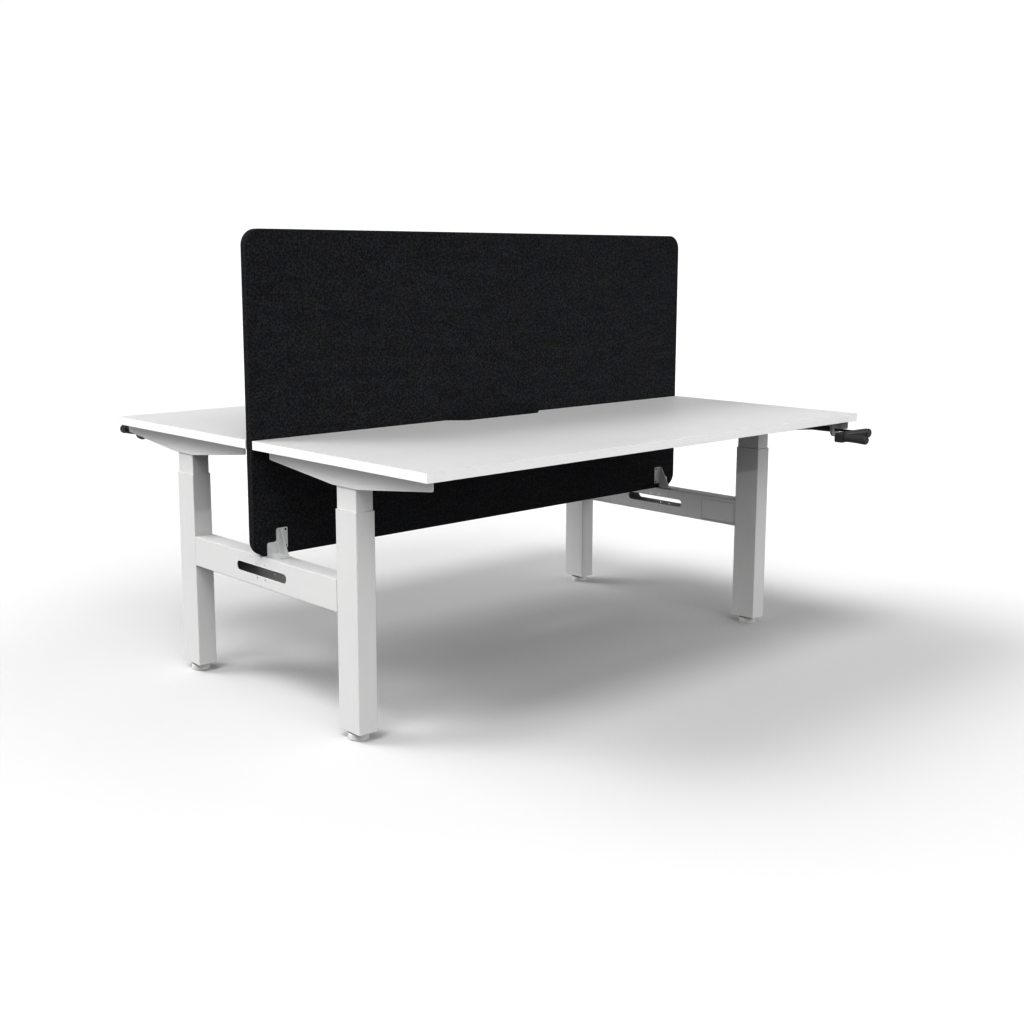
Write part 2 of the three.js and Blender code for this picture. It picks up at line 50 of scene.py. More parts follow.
# ------------------------------------------------------------------ material helpers
def material(name, color, rough=0.5, metal=0.0):
    m = bpy.data.materials.new(name)
    m.use_nodes = True
    nt = m.node_tree
    b = nt.nodes["Principled BSDF"]
    b.inputs["Base Color"].default_value = (*color, 1.0)
    b.inputs["Roughness"].default_value = rough
    b.inputs["Metallic"].default_value = metal
    m.diffuse_color = (*color, 1.0)
    return m, nt, b


def coords(nt, scale=(1, 1, 1), turn=(0, 0, 0)):
    tc = nt.nodes.new("ShaderNodeTexCoord")
    mp = nt.nodes.new("ShaderNodeMapping")
    mp.inputs["Scale"].default_value = scale
    mp.inputs["Rotation"].default_value = turn
    nt.links.new(tc.outputs["Object"], mp.inputs["Vector"])
    return mp.outputs["Vector"]


def noise(nt, vec, scale, detail=2.0, rough=0.5, lac=2.0, distort=0.0):
    n = nt.nodes.new("ShaderNodeTexNoise")
    n.inputs["Scale"].default_value = scale
    n.inputs["Detail"].default_value = detail
    n.inputs["Roughness"].default_value = rough
    n.inputs["Lacunarity"].default_value = lac
    n.inputs["Distortion"].default_value = distort
    nt.links.new(vec, n.inputs["Vector"])
    return n.outputs["Fac"]


def ramp(nt, fac, stops):
    r = nt.nodes.new("ShaderNodeValToRGB")
    e = r.color_ramp.elements
    while len(e) < len(stops):
        e.new(0.5)
    for k, (p, c) in enumerate(stops):
        e[k].position = p
        e[k].color = (*c, 1.0) if len(c) == 3 else c
    nt.links.new(fac, r.inputs["Fac"])
    return r.outputs["Color"]


def remap(nt, fac, a, b, lo, hi):
    r = nt.nodes.new("ShaderNodeMapRange")
    r.inputs["From Min"].default_value = a
    r.inputs["From Max"].default_value = b
    r.inputs["To Min"].default_value = lo
    r.inputs["To Max"].default_value = hi
    nt.links.new(fac, r.inputs["Value"])
    return r.outputs["Result"]


def mix(nt, kind, fac, a, b):
    m = nt.nodes.new("ShaderNodeMix")
    m.data_type = "RGBA"
    m.blend_type = kind
    ins = {s.identifier: s for s in m.inputs}
    if isinstance(fac, float):
        ins["Factor_Float"].default_value = fac
    else:
        nt.links.new(fac, ins["Factor_Float"])
    for key, v in (("A_Color", a), ("B_Color", b)):
        if isinstance(v, tuple):
            ins[key].default_value = (*v, 1.0)
        else:
            nt.links.new(v, ins[key])
    return next(o for o in m.outputs if o.identifier == "Result_Color")


def bump(nt, bsdf, height, strength, distance, under=None):
    n = nt.nodes.new("ShaderNodeBump")
    n.inputs["Strength"].default_value = strength
    n.inputs["Distance"].default_value = distance
    nt.links.new(height, n.inputs["Height"])
    if under is not None:
        nt.links.new(under, n.inputs["Normal"])
    nt.links.new(n.outputs["Normal"], bsdf.inputs["Normal"])
    return n.outputs["Normal"]


# ------------------------------------------------------------------ finishes
def white_powder():
    m, nt, b = material("white_powder_coat", (0.765, 0.765, 0.763), 0.02, 0.075)
    v = coords(nt)
    broad = noise(nt, v, 5.0, 3.0)
    paint = ramp(nt, broad, [(0.3, (0.756, 0.756, 0.754)), (0.7, (0.775, 0.775, 0.772))])
    geo = nt.nodes.new("ShaderNodeNewGeometry")
    split = nt.nodes.new("ShaderNodeSeparateXYZ")
    nt.links.new(geo.outputs["Normal"], split.inputs[0])
    painted_up_shade = remap(nt, split.outputs["Z"], 0.20, 0.72, 0.0, 1.0)                # painted shade: faces turned upwards are painted up to a fifth darker, standing in for the shade on ledges and beam tops under the worktops
    nt.links.new(mix(nt, "MULTIPLY", painted_up_shade, paint, (0.81, 0.81, 0.81)), b.inputs["Base Color"])
    nt.links.new(remap(nt, noise(nt, v, 60.0, 3.0), 0.3, 0.7, 0.016, 0.030), b.inputs["Roughness"])
    b.inputs["Specular IOR Level"].default_value = 0.0          # even gloss at every angle, from the small metal share
    peel = noise(nt, v, 420.0, 2.0, 0.55)
    bump(nt, b, peel, 0.008, 0.00002)
    return m


def white_laminate():
    m, nt, b = material("white_laminate", (0.600, 0.600, 0.598), 0.55)
    v = coords(nt)
    broad = noise(nt, v, 2.5, 2.0)
    nt.links.new(ramp(nt, broad, [(0.3, (0.592, 0.592, 0.591)), (0.7, (0.606, 0.606, 0.604))]), b.inputs["Base Color"])
    nt.links.new(remap(nt, noise(nt, v, 110.0, 4.0), 0.3, 0.7, 0.50, 0.60), b.inputs["Roughness"])
    b.inputs["Specular IOR Level"].default_value = 0.22
    grain = noise(nt, v, 1700.0, 3.0, 0.6)
    bump(nt, b, grain, 0.06, 0.00015)
    return m


# painted light and shade: the edge band is the same white as the top laminate but painted far lighter, so the board's
# sides read lit and its top shaded
def edge_band_painted_light():
    m, nt, b = material("white_edge_band", (0.950, 0.950, 0.948), 0.30)
    v = coords(nt, (1, 1, 6))
    nt.links.new(ramp(nt, noise(nt, v, 40.0, 2.0), [(0.3, (0.945, 0.945, 0.943)), (0.7, (0.955, 0.955, 0.953))]), b.inputs["Base Color"])
    nt.links.new(remap(nt, noise(nt, v, 160.0, 3.0), 0.3, 0.7, 0.25, 0.36), b.inputs["Roughness"])
    bump(nt, b, noise(nt, v, 900.0, 2.0), 0.03, 0.00008)
    return m


def dark_felt():
    m, nt, b = material("dark_felt", (0.012, 0.0125, 0.0145), 0.95)
    v = coords(nt)
    cloud = noise(nt, coords(nt, (3.0, 3.0, 10.0)), 3.0, 5.0, 0.62, 2.1, 0.4)       # drawn out along the panel
    hue = noise(nt, coords(nt, (5.0, 5.0, 16.0)), 3.0, 3.0, 0.55)
    mottle = noise(nt, v, 170.0, 2.0, 0.60, 2.2, 0.3)
    fibre = noise(nt, coords(nt, (1.0, 1.0, 1.6), (0, 0.35, 0)), 640.0, 4.0, 0.75, 2.3, 1.2)
    base = ramp(nt, mottle, [(0.33, (0.0096, 0.0100, 0.0115)), (0.50, (0.0262, 0.0271, 0.0302)), (0.67, (0.0520, 0.0531, 0.0578))])
    tone = ramp(nt, cloud, [(0.30, (0.80, 0.80, 0.80)), (0.70, (1.20, 1.20, 1.20))])
    c1 = mix(nt, "MULTIPLY", 1.0, base, tone)
    tint = ramp(nt, hue, [(0.35, (0.95, 0.98, 1.08)), (0.65, (1.05, 1.01, 0.93))])
    c2 = mix(nt, "MULTIPLY", 1.0, c1, tint)
    fleck = ramp(nt, fibre, [(0.54, (0.0, 0.0, 0.0)), (0.80, (0.042, 0.0433, 0.047))])
    nt.links.new(mix(nt, "ADD", 0.5, c2, fleck), b.inputs["Base Color"])
    b.inputs["Specular IOR Level"].default_value = 0.18
    b.inputs["Sheen Weight"].default_value = 0.05
    b.inputs["Sheen Roughness"].default_value = 0.5
    b.inputs["Sheen Tint"].default_value = (0.55, 0.57, 0.64, 1.0)
    first = bump(nt, b, fibre, 0.5, 0.0006)
    bump(nt, b, mottle, 0.4, 0.0012, first)
    return m


def silver_sheet():
    m, nt, b = material("silver_sheet", (0.68, 0.682, 0.685), 0.40, 0.0)
    v = coords(nt)
    nt.links.new(ramp(nt, noise(nt, v, 90.0, 4.0), [(0.3, (0.655, 0.658, 0.661)), (0.7, (0.700, 0.703, 0.706))]), b.inputs["Base Color"])
    nt.links.new(remap(nt, noise(nt, v, 420.0, 3.0), 0.3, 0.7, 0.36, 0.48), b.inputs["Roughness"])
    bump(nt, b, noise(nt, v, 1500.0, 2.0), 0.12, 0.00015)
    return m


def black_plastic():
    m, nt, b = material("black_plastic", (0.060, 0.060, 0.061), 0.42)
    v = coords(nt)
    nt.links.new(ramp(nt, noise(nt, v, 240.0, 4.0), [(0.3, (0.054, 0.054, 0.055)), (0.7, (0.066, 0.066, 0.067))]), b.inputs["Base Color"])
    nt.links.new(remap(nt, noise(nt, v, 500.0, 3.0), 0.3, 0.7, 0.34, 0.48), b.inputs["Roughness"])
    bump(nt, b, noise(nt, v, 1900.0, 2.0, 0.6), 0.22, 0.00018)
    return m


def white_nylon(name="white_nylon", tone=0.78):
    m, nt, b = material(name, (tone, tone, tone * 0.975), 0.40)
    v = coords(nt)
    lo, hi = tone * 0.962, tone * 1.026
    nt.links.new(ramp(nt, noise(nt, v, 120.0, 3.0), [(0.3, (lo, lo, lo * 0.98)), (0.7, (hi, hi, hi * 0.98))]), b.inputs["Base Color"])
    nt.links.new(remap(nt, noise(nt, v, 300.0, 2.0), 0.3, 0.7, 0.34, 0.46), b.inputs["Roughness"])
    b.inputs["Subsurface Weight"].default_value = 0.12
    b.inputs["Subsurface Scale"].default_value = 0.004
    bump(nt, b, noise(nt, v, 1200.0, 2.0), 0.08, 0.0002)
    return m


def grey_bearing():
    m, nt, b = material("grey_bearing", (0.36, 0.365, 0.37), 0.45)
    v = coords(nt)
    nt.links.new(ramp(nt, noise(nt, v, 140.0, 3.0), [(0.3, (0.34, 0.345, 0.35)), (0.7, (0.39, 0.395, 0.40))]), b.inputs["Base Color"])
    nt.links.new(remap(nt, noise(nt, v, 400.0, 2.0), 0.3, 0.7, 0.38, 0.5), b.inputs["Roughness"])
    bump(nt, b, noise(nt, v, 1300.0, 2.0), 0.12, 0.0002)
    return m


def bright_steel():
    m, nt, b = material("bright_steel", (0.55, 0.555, 0.56), 0.30, 1.0)
    v = coords(nt)
    nt.links.new(ramp(nt, noise(nt, v, 220.0, 5.0), [(0.3, (0.48, 0.485, 0.49)), (0.7, (0.60, 0.605, 0.61))]), b.inputs["Base Color"])
    nt.links.new(remap(nt, noise(nt, v, 700.0, 3.0), 0.3, 0.7, 0.22, 0.38), b.inputs["Roughness"])
    bump(nt, b, noise(nt, v, 1600.0, 2.0), 0.10, 0.0001)
    return m


def dark_steel():
    m, nt, b = material("dark_steel", (0.045, 0.045, 0.048), 0.40, 0.6)
    v = coords(nt)
    nt.links.new(ramp(nt, noise(nt, v, 180.0, 4.0), [(0.3, (0.035, 0.035, 0.037)), (0.7, (0.06, 0.06, 0.064))]), b.inputs["Base Color"])
    nt.links.new(remap(nt, noise(nt, v, 500.0, 3.0), 0.3, 0.7, 0.32, 0.5), b.inputs["Roughness"])
    bump(nt, b, noise(nt, v, 1500.0, 2.0), 0.12, 0.0001)
    return m


def die_cast():
    m, nt, b = material("die_cast_housing", (0.40, 0.41, 0.42), 0.5, 0.8)
    v = coords(nt)
    nt.links.new(ramp(nt, noise(nt, v, 160.0, 5.0), [(0.3, (0.33, 0.335, 0.345)), (0.7, (0.46, 0.465, 0.475))]), b.inputs["Base Color"])
    nt.links.new(remap(nt, noise(nt, v, 260.0, 3.0), 0.3, 0.7, 0.42, 0.6), b.inputs["Roughness"])
    bump(nt, b, noise(nt, v, 700.0, 4.0, 0.65), 0.25, 0.0003)
    return m


POWDER, LAMINATE, PAINTED_LIGHT_BAND, FELT = white_powder(), white_laminate(), edge_band_painted_light(), dark_felt()
SILVER, BLACK, NYLON, GREY = silver_sheet(), black_plastic(), white_nylon(), grey_bearing()
STEEL, DARK, CAST = bright_steel(), dark_steel(), die_cast()
# painted shade: the collars take a darker copy of the white nylon, so their lit top ledge is painted down instead of
# showing as a bright line
PAINTED_SHADE_NYLON = white_nylon("bush_nylon_painted_shade", 0.62)

SLOT_MATERIAL = {
    "white_powder_coat": POWDER, "white_laminate": LAMINATE, "dark_felt": FELT, "silver_sheet": SILVER,
    "black_plastic": BLACK, "white_nylon": NYLON, "grey_bearing": GREY, "bright_steel": STEEL,
    "dark_steel": DARK, "die_cast_housing": CAST,
}
NODE_SLOT = {s["node"]: s["material_slot"] for s in frame["record"]["subparts"]}
NODE_BODY = {n: b for b, ns in frame["record"]["behaviour"]["bodies"].items() for n in ns}
for n, o in NODES.items():                                 # every carried-over node gets its finish
    o.data.materials.clear()
    o.data.materials.append(SLOT_MATERIAL[NODE_SLOT[n]])


# ------------------------------------------------------------------ mesh helpers (millimetres in, metres out)
def piece(name, bm, mats, body, nodes=(), turn=SAME, smooth=35.0, scale=MM, even=True):
    if scale != 1.0:
        bmesh.ops.scale(bm, vec=(scale,) * 3, verts=bm.verts)
    bmesh.ops.recalc_face_normals(bm, faces=bm.faces)
    me = bpy.data.meshes.new(name)
    bm.to_mesh(me)
    bm.free()
    me.transform(turn)
    me.polygons.foreach_set("use_smooth", [True] * len(me.polygons))
    me.set_sharp_from_angle(angle=math.radians(smooth))
    for m in mats if isinstance(mats, (list, tuple)) else [mats]:
        me.materials.append(m)
    ob = bpy.data.objects.new(name, me)
    bpy.context.scene.collection.objects.link(ob)
    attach(ob, body)
    if even:
        w = ob.modifiers.new("even_normals", "WEIGHTED_NORMAL")       # flat faces stay flat beside rounded edges
        w.mode, w.weight, w.keep_sharp = "FACE_AREA", 60, True
    if nodes:
        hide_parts(*nodes)
    return ob


def rr(w, d, r, n=6):
    """Rounded rectangle about the origin, anticlockwise."""
    r = max(r, 0.02)
    pts = []
    for cx, cy, a0 in ((w / 2 - r, d / 2 - r, 0), (-w / 2 + r, d / 2 - r, 90), (-w / 2 + r, -d / 2 + r, 180), (w / 2 - r, -d / 2 + r, 270)):
        for k in range(n + 1):
            a = math.radians(a0 + 90 * k / n)
            pts.append((cx + r * math.cos(a), cy + r * math.sin(a)))
    return pts


def like_circle(loop, radius):
    """A circle with one point for each point of the loop, at the same angle."""
    return [(radius * math.cos(math.atan2(y, x)), radius * math.sin(math.atan2(y, x))) for x, y in loop]


def circle(r, n):
    return [(r * math.cos(2 * math.pi * k / n), r * math.sin(2 * math.pi * k / n)) for k in range(n)]


def loft(bm, rings, closed=False, cap=True, mat=None):
    vs = [[bm.verts.new(p) for p in ring] for ring in rings]
    n = len(rings[0])
    faces = []
    pairs = list(zip(vs[:-1], vs[1:])) + ([(vs[-1], vs[0])] if closed else [])
    for a, b in pairs:
        for k in range(n):
            faces.append(bm.faces.new((a[k], a[(k + 1) % n], b[(k + 1) % n], b[k])))
    if not closed and cap:
        faces.append(bm.faces.new(list(reversed(vs[0]))))
        faces.append(bm.faces.new(vs[-1]))
    if mat is not None:
        for f in faces:
            f.material_index = mat
    return faces


def lathe(bm, profile, place, n=48, mat=None):
    """Turned solid: profile is [(radius, height)], from axis to axis or closed on itself."""
    closed = profile[0] == profile[-1]
    prof = profile[:-1] if closed else profile
    rings = []
    for r, h in prof:
        if r < 1e-6:
            rings.append([bm.verts.new(place(0.0, 0.0, h))])
        else:
            rings.append([bm.verts.new(place(r * math.cos(2 * math.pi * k / n), r * math.sin(2 * math.pi * k / n), h)) for k in range(n)])
    faces = []
    pairs = list(zip(rings[:-1], rings[1:])) + ([(rings[-1], rings[0])] if closed else [])
    for a, b in pairs:
        if len(a) == 1 and len(b) == 1:
            continue
        for k in range(n):
            j = (k + 1) % n
            if len(a) == 1:
                faces.append(bm.faces.new((a[0], b[j], b[k])))
            elif len(b) == 1:
                faces.append(bm.faces.new((a[k], a[j], b[0])))
            else:
                faces.append(bm.faces.new((a[k], a[j], b[j], b[k])))
    if mat is not None:
        for f in faces:
            f.material_index = mat
    return faces


def smooth_profile(pts, steps=5):
    """A turned outline through the given points, rounded by a Catmull-Rom curve."""
    out = []
    for i in range(len(pts) - 1):
        p0, p1, p2, p3 = pts[max(i - 1, 0)], pts[i], pts[i + 1], pts[min(i + 2, len(pts) - 1)]
        for k in range(steps):
            t = k / steps
            out.append(tuple(
                0.5 * ((2 * p1[c]) + (-p0[c] + p2[c]) * t + (2 * p0[c] - 5 * p1[c] + 4 * p2[c] - p3[c]) * t * t
                       + (-p0[c] + 3 * p1[c] - 3 * p2[c] + p3[c]) * t ** 3) for c in (0, 1)))
    out.append(tuple(pts[-1]))
    return out


def from_node(node, bevel=0.5, segs=2, angle=32.0, special=None):
    """The node's own shape with flat faces joined up and its edges broken, as a new mesh in metres.
    special(edge) may give an edge another radius in millimetres."""
    bm = bmesh.new()
    bm.from_mesh(NODES[node].data)
    bmesh.ops.remove_doubles(bm, verts=bm.verts, dist=2e-6)
    bmesh.ops.dissolve_limit(bm, angle_limit=math.radians(0.6), verts=bm.verts, edges=bm.edges, delimit=set())
    bm.normal_update()
    sharp = [e for e in bm.edges if len(e.link_faces) == 2 and e.calc_face_angle(0.0) > math.radians(angle)]
    groups = {}
    for e in sharp:
        r = special(e) if special else None
        groups.setdefault(bevel if r is None else r, []).append(e)
    for r in sorted(groups, reverse=True):
        edges = [e for e in groups[r] if e.is_valid]
        if r > 0 and edges:
            bmesh.ops.bevel(bm, geom=edges, offset=r * MM, offset_type="OFFSET", segments=segs if r < 1.5 else 4,
                            profile=0.5, affect="EDGES", clamp_overlap=True)
    return bm


def screw_head(bm, place, r=4.0, h=2.2, socket=2.0, mat=None):
    """Button-head screw with a six-sided socket: place maps (x, y, height)."""
    n = 24
    hexa = []
    for k in range(n):
        a = 2 * math.pi * k / n
        s = (a % (math.pi / 3)) - math.pi / 6
        hexa.append((socket * math.cos(math.pi / 6) / math.cos(s), a))
    ring = lambda rad, z: [place(rad * math.cos(2 * math.pi * k / n), rad * math.sin(2 * math.pi * k / n), z) for k in range(n)]
    hx = lambda f, z: [place(q * f * math.cos(a), q * f * math.sin(a), z) for q, a in hexa]
    rings = [ring(r * 0.98, -0.6), ring(r, 0.15), ring(r * 0.97, h * 0.38), ring(r * 0.86, h * 0.72), ring(r * 0.70, h * 0.93),
             ring(r * 0.60, h), hx(1.06, h), hx(1.0, h - 0.15), hx(1.0, h * 0.25)]
    return loft(bm, rings, mat=mat)


# ------------------------------------------------------------------ dimensions shared with the solids
LEG_X, LEG_Y = 842.0, 405.0
LEGS = (("front_left", -1, -1), ("front_right", 1, -1), ("rear_left", -1, 1), ("rear_right", 1, 1))
AXIS_Z = 703.0
DESKS = (("front", SAME, "left", "right"), ("rear", TURN, "right", "left"))


# ------------------------------------------------------------------ legs
def outer_column(name, x, y):
    bm = bmesh.new()
    at = lambda loop, z: [Vector((x + a, y + b, z)) for a, b in loop]
    o = lambda i: rr(60 - 2 * i, 90 - 2 * i, 3.0 - i)
    c = lambda r: like_circle(o(0), r)
    loft(bm, [at(c(5.5), 31), at(c(5.5), 23.4), at(c(5.9), 23.0), at(o(0.9), 23.0), at(o(0.27), 23.25), at(o(0), 23.9),
              at(o(0), 611.8), at(o(0.06), 611.94), at(o(0.2), 612.0), at(o(1.3), 612.0), at(o(1.5), 611.8), at(o(1.5), 31)], closed=True)
    return piece(name + "_outer_tube", bm, POWDER, "base_frame", [name + "_outer_column"])


def guide_bush(name, x, y):
    bm = bmesh.new()
    at = lambda loop, z: [Vector((x + a, y + b, z)) for a, b in loop]
    o = lambda w, d, r: rr(w, d, r)
    loft(bm, [at(o(56.4, 86.4, 1.5), 572), at(o(56.4, 86.4, 1.5), 612.1), at(o(58.7, 88.7, 2.6), 612.1), at(o(59.0, 89.0, 2.7), 612.2),
              at(o(58.8, 88.8, 2.6), 612.35), at(o(55.0, 85.0, 2.2), 612.35), at(o(54.6, 84.6, 2.2), 612.2),
              at(o(54.6, 84.6, 2.2), 572)], closed=True)
    return piece(name + "_bush_collar", bm, PAINTED_SHADE_NYLON, "base_frame", [name + "_guide_bush"])


def inner_column(name, x, y, body):
    bm = bmesh.new()
    at = lambda loop, z: [Vector((x + a, y + b, z)) for a, b in loop]
    o = lambda i: rr(54 - 2 * i, 84 - 2 * i, 2.5 - i)
    c = lambda r: like_circle(o(0), r)
    loft(bm, [at(o(0.4), 92), at(o(0), 92.4), at(o(0), 672.1), at(o(0.2), 672.5), at(o(0.6), 672.7), at(c(8.9), 672.7), at(c(8.5), 672.3),
              at(c(8.5), 666.7), at(o(2), 666.7), at(o(2), 92.4), at(o(1.6), 92)], closed=True)
    return piece(name + "_inner_tube", bm, POWDER, body, [name + "_inner_column"])


def foot(name, x, y):
    bm = bmesh.new()
    place = lambda a, b, h: Vector((x + a, y + b, h))
    lathe(bm, [(0, 0), (25.8, 0), (27.2, 0.25), (28.1, 1.0), (28.5, 2.2), (28.5, 14.2), (28.1, 16.0), (27.0, 17.3), (25.4, 18.0),
               (11.5, 18.0), (11.0, 18.3), (10.8, 19.0), (10.8, 21.9), (10.3, 22.4), (5.0, 22.4), (5.0, 33.0), (0, 33.0)], place, 64)
    return piece(name + "_glide", bm, NYLON, name + "_foot", [name + "_glide_foot"])


for name, sx, sy in LEGS:
    x, y = sx * LEG_X, sy * LEG_Y
    outer_column(name, x, y)
    guide_bush(name, x, y)
    inner_column(name, x, y, "front_desk" if sy < 0 else "rear_desk")
    foot(name, x, y)


# ------------------------------------------------------------------ end beams and their covers
def beam_edge(e):
    a, b = e.verts
    if abs(a.co.y) > 0.3590 and abs(b.co.y) > 0.3590:
        return 0.9                                         # ends against the legs
    return None


for side in ("left", "right"):
    n = side + "_end_beam"
    piece(side + "_beam_tube", from_node(n, 0.3, 2, special=beam_edge), POWDER, "base_frame", [n], scale=1.0)
    for end in ("front", "rear"):
        n = f"{side}_beam_cover_{end}"
        bm = from_node(n, 0.4, 2)
        mid = sum((v.co for v in bm.verts), Vector()) / len(bm.verts)
        mid.y, mid.z = math.copysign(0.2865, mid.y), 0.3785
        for v in bm.verts:                                 # the seam shows all round
            v.co.y = mid.y + (v.co.y - mid.y) * (138.6 / 140)
            v.co.z = mid.z + (v.co.z - mid.z) * (70.6 / 72)
        piece(f"{side}_{end}_access_cover", bm, POWDER, "base_frame", [n], scale=1.0)


# ------------------------------------------------------------------ felt screen
def felt_screen():
    bm = bmesh.new()
    zc = 426.5 + 450
    at = lambda i, y: [Vector((a, y, zc + b)) for a, b in rr(1800 - 2 * i, 900 - 2 * i, 45 - i, 16)]
    half = 13.0
    path = [(9.0, -half), (5.0, -half + 0.02), (2.6, -half + 0.12), (1.3, -half + 0.55), (0.45, -half + 1.3), (0.0, -half + 2.6),
            (0.0, -1.1), (0.25, -0.65), (0.8, -0.3), (0.8, 0.3), (0.25, 0.65), (0.0, 1.1),
            (0.0, half - 2.6), (0.45, half - 1.3), (1.3, half - 0.55), (2.6, half - 0.12), (5.0, half - 0.02), (9.0, half)]
    loft(bm, [at(i, y) for i, y in path])
    return piece("felt_screen_panel", bm, FELT, "base_frame", ["felt_screen"], smooth=60)


felt_screen()


# ------------------------------------------------------------------ screen brackets with their screws
for name, sx, sy in LEGS:
    n = name + "_screen_bracket"
    piece(name + "_bracket", from_node(n, 0.45, 2), SILVER, "base_frame", [n], scale=1.0)
    bm = bmesh.new()
    for z in (496.0, 449.5):
        screw_head(bm, lambda a, b, h, z=z: Vector((sx * 798 + a, sy * (16.3 + h), z + b)), 3.3, 1.2, 1.3)
    piece(name + "_bracket_screws", bm, DARK, "base_frame")
    bm = bmesh.new()
    screw_head(bm, lambda a, b, h: Vector((sx * 839 + a, sy * 40 + b, 429.3 + h)), 5.0, 1.6, 1.9)
    piece(name + "_bracket_foot_screw", bm, SILVER, "base_frame")


# ------------------------------------------------------------------ the two lifting desks
def outline(pts, inset, r, n=5):
    """The closed outline moved inwards, with its corners rounded: outer corners by r less the inset, inner ones by r plus it."""
    res = []
    m = len(pts)
    for i in range(m):
        p, q, s = Vector(pts[i - 1]), Vector(pts[i]), Vector(pts[(i + 1) % m])
        u, w = (q - p).normalized(), (s - q).normalized()
        nu, nw = Vector((-u.y, u.x)), Vector((-w.y, w.x))          # to the inside of an anticlockwise outline
        corner = q + (nu + nw) * (inset / (1 + nu.dot(nw)))
        turn = math.atan2(u.x * w.y - u.y * w.x, u.dot(w))
        rad = max(r - inset, 0.05) if turn > 0 else r + inset
        cut = rad * math.tan(abs(turn) / 2)
        side = 1 if turn > 0 else -1
        c = corner - u * cut + nu * (rad * side)
        a0 = math.atan2(-nu.y * side, -nu.x * side)
        for k in range(n + 1):
            t = a0 + turn * k / n
            res.append((c.x + rad * math.cos(t), c.y + rad * math.sin(t)))
    return res


def worktop(desk, turn):
    bm = bmesh.new()
    y0, y1, x = -766.0, -16.0, 900.0
    pts = [(-x, y0), (x, y0), (x, y1), (200, y1), (150, y1 - 44), (-150, y1 - 44), (-200, y1), (-x, y1)]
    ring = lambda i, z: [Vector((a, b, z)) for a, b in outline(pts, i, 2.2)]
    path = [(2.2, 730.0), (2.0, 730.0), (1.9, 730.07), (1.8, 730.0), (0.9, 730.0), (0.42, 730.12), (0.12, 730.42), (0.0, 730.9),
            (0.0, 754.1), (0.12, 754.58), (0.42, 754.88), (0.9, 755.0), (1.8, 755.0), (1.9, 754.93), (2.0, 755.0), (2.2, 755.0)]
    loft(bm, [ring(i, z) for i, z in path], mat=1)
    bm.faces.ensure_lookup_table()
    for f in bm.faces:
        f.normal_update()
        # painted light and shade by facing: faces turned up or down take the darker top laminate, the sides the much
        # lighter band
        if len(f.verts) > 4 or abs(f.normal.z) > 0.3:
            f.material_index = 0
    return piece(desk + "_worktop_board", bm, [LAMINATE, PAINTED_LIGHT_BAND], desk + "_desk", [desk + "_worktop"], turn, smooth=30)


def arm_edge(e):
    a, b = e.verts
    if min(a.co.z, b.co.z) > 0.7294 and min(abs(a.co.x), abs(b.co.x)) > 0.8715 and abs(a.co.y - b.co.y) > 0.3:
        return 2.8                                         # outside of the sheet's bend
    return None


def crank_pieces(desk, turn):
    gx, gz = LEG_X - 68.0, AXIS_Z - 13.5
    # arm slanting from the hub back to the grip root, with a short straight tail
    bm = bmesh.new()
    knee = (LEG_X - 48.0, AXIS_Z - 9.3, -798.0, -783.0)
    for ends in (((LEG_X, AXIS_Z, -846.0, -826.0), knee), (knee, (LEG_X - 66.0, AXIS_Z - 8.0, -798.0, -783.0))):
        bar = bmesh.new()
        for cx, cz, y0, y1 in ends:
            for i, d in ((2.0, 0.0), (0.9, 0.25), (0.25, 0.9), (0.0, 2.0)):
                for y in (y0 + d, y1 - d):
                    for k in range(40):
                        t = 2 * math.pi * k / 40
                        bar.verts.new((cx + (12.5 - i) * math.cos(t), y, cz + (12.5 - i) * math.sin(t)))
        hull = bmesh.ops.convex_hull(bar, input=list(bar.verts))
        bmesh.ops.delete(bar, geom=list({g for g in hull["geom_interior"] + hull["geom_unused"] if isinstance(g, bmesh.types.BMVert)}), context="VERTS")
        me = bpy.data.meshes.new("bar")
        bar.to_mesh(me)
        bar.free()
        bm.from_mesh(me)
        bpy.data.meshes.remove(me)
    root = lambda i, y: [Vector((gx + a, y, gz + b)) for a, b in rr(28 - 2 * i, 29 - 2 * i, 6.5 - i, 8)]
    loft(bm, [root(2.4, -774.8), root(1.0, -775.1), root(0.3, -775.9), root(0, -777.4), root(0, -799.6), root(0.35, -801.4), root(1.1, -802.5), root(2.4, -803)])
    place = lambda a, b, h: Vector((LEG_X + a, h, AXIS_Z + b))
    hub = smooth_profile([(10.7, -820.4), (11.3, -823), (12.4, -828), (13.4, -835), (14.0, -842)], 5)
    end = [(13.95, -844.0), (13.6, -846.2), (12.9, -847.8), (11.8, -848.7), (10.4, -849.0), (6.4, -849.0), (6.0, -848.6), (5.8, -847.9), (0.0, -847.9)]
    lathe(bm, [(0.0, -820)] + hub + end, place, 56)
    piece(desk + "_crank_moulding", bm, BLACK, desk + "_crank_drive", [desk + "_crank"], turn, smooth=38)
    # turning grip
    bm = bmesh.new()
    place = lambda a, b, h: Vector((gx + a, h, gz + b))
    body = smooth_profile([(11.7, -805.0), (11.4, -812), (11.3, -820), (11.5, -832), (12.1, -846), (12.9, -860), (13.5, -871), (13.6, -874)], 5)
    end = [(13.55, -876.4), (13.2, -878.8), (12.5, -880.6), (11.4, -881.6), (10.0, -882.0), (7.0, -882.0), (6.6, -881.6), (6.4, -880.9), (0.0, -880.9)]
    start = [(5.5, -871.0), (5.5, -803.8), (5.8, -803.5), (11.1, -803.5), (11.6, -803.9)]
    lathe(bm, [(0.0, -871.0)] + start + body + end, place, 56)
    piece(desk + "_turning_grip", bm, BLACK, desk + "_grip", [desk + "_crank_grip"], turn, smooth=38)


